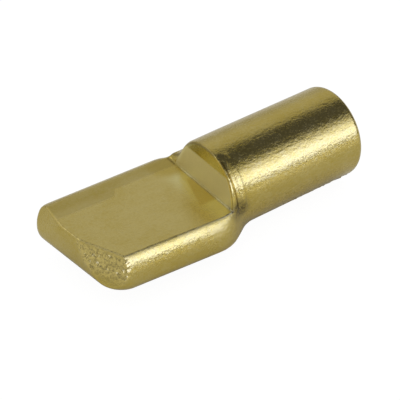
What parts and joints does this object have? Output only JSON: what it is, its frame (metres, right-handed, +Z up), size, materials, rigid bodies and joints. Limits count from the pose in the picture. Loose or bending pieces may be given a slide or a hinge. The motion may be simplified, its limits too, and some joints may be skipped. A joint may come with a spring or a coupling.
{
  "type": "shelf support pin",
  "caption": "Solid brass shelf support: a round shank for a drilled cabinet hole, pressed out into a flat-topped paddle on which the shelf rests.",
  "frame": {"origin": "on the shank's axis where the full round begins, which is at the mouth of the drilled hole in use", "axes": "+X along the shank to its free end, into the cabinet wall; +Z up, out of the flat that carries the shelf; +Y across the paddle"},
  "size_m": [0.0213, 0.0089, 0.0064],
  "materials": {
    "brass": "satin, slightly tarnished, with bright worn edges"
  },
  "bodies": {
    "root": {"shelf_pin": "brass"}
  },
  "joints": []
}
